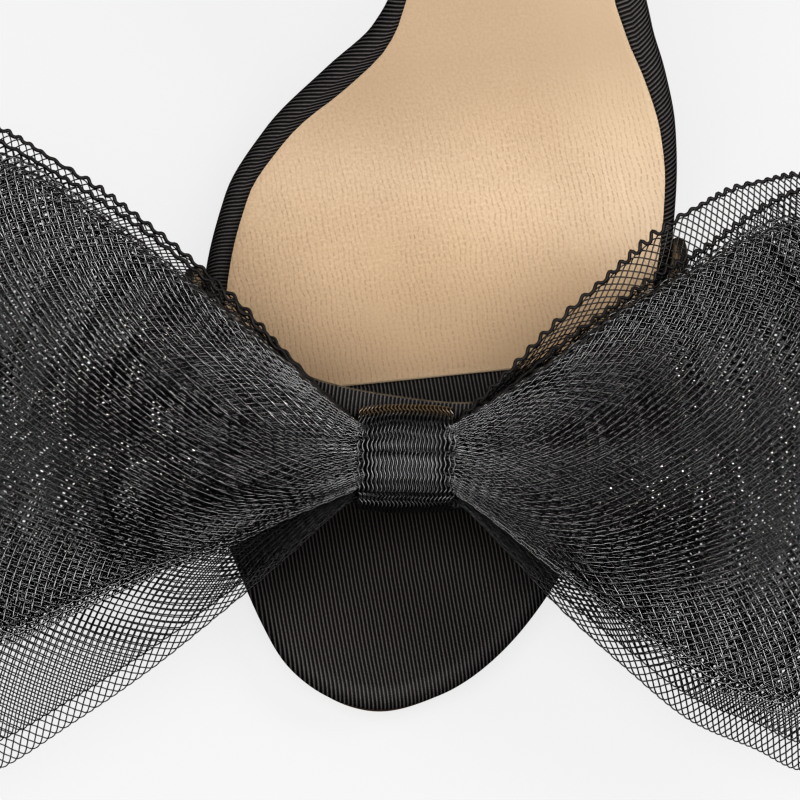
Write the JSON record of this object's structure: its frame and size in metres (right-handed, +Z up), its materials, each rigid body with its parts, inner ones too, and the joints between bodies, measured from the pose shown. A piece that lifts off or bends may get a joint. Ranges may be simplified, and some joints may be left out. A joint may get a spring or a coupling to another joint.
{
  "type": "bow sandal",
  "caption": "Left high-heeled slip-on sandal with a black ribbed toe strap, a beige leather insole and a wide black open-mesh bow gathered in a knot.",
  "frame": {"origin": "on the floor under the ball of the foot, in the middle of the tread", "axes": "+Z up, the toe towards -Y and the heel towards +Y, the big toe side towards -X"},
  "size_m": [0.1839, 0.2402, 0.0798],
  "materials": {
    "black_grosgrain": "fine ribbed black ribbon cloth with a low sheen",
    "beige_leather": "smooth beige lining leather with fine pores and a soft gloss",
    "sole_leather": "smooth tan sole leather, dark at its edge",
    "black_mesh": "open braid of glossy black monofilament",
    "black_rubber": "matt black"
  },
  "bodies": {
    "root": {"outsole": "sole_leather", "footbed": "black_grosgrain", "sock": "beige_leather", "toe_strap": "black_grosgrain", "heel": "black_grosgrain", "heel_tip": "black_rubber", "bow_knot": "black_mesh", "bow_loop_back_left": "black_mesh", "bow_loop_back_right": "black_mesh", "bow_loop_front_left": "black_mesh", "bow_loop_front_right": "black_mesh"}
  },
  "joints": []
}
